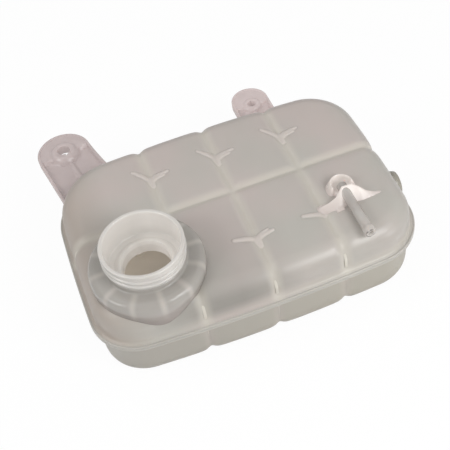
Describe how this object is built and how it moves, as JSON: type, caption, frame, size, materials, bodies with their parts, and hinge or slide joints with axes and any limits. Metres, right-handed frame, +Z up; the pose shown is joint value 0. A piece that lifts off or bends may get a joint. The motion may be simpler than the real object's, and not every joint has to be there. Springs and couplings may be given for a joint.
{
  "type": "coolant expansion tank",
  "caption": "Flat translucent two-shell coolant expansion tank with pillowed top, ribbed drum and threaded filler neck, vent nipple, side hose spigot and mounting tabs.",
  "frame": {"origin": "middle of the part's box in plan, on the plane that the tank's bottom pillows stand on", "axes": "+X along the tank towards the hose spigot, +Y towards the two mounting tabs, +Z up out of the filler neck"},
  "size_m": [0.2564, 0.2244, 0.094],
  "materials": {
    "upper_plastic": "translucent natural polypropylene, satin",
    "lower_plastic": "translucent natural polypropylene, satin"
  },
  "bodies": {
    "root": {"upper_shell": "upper_plastic", "lower_shell": "lower_plastic"}
  },
  "joints": []
}
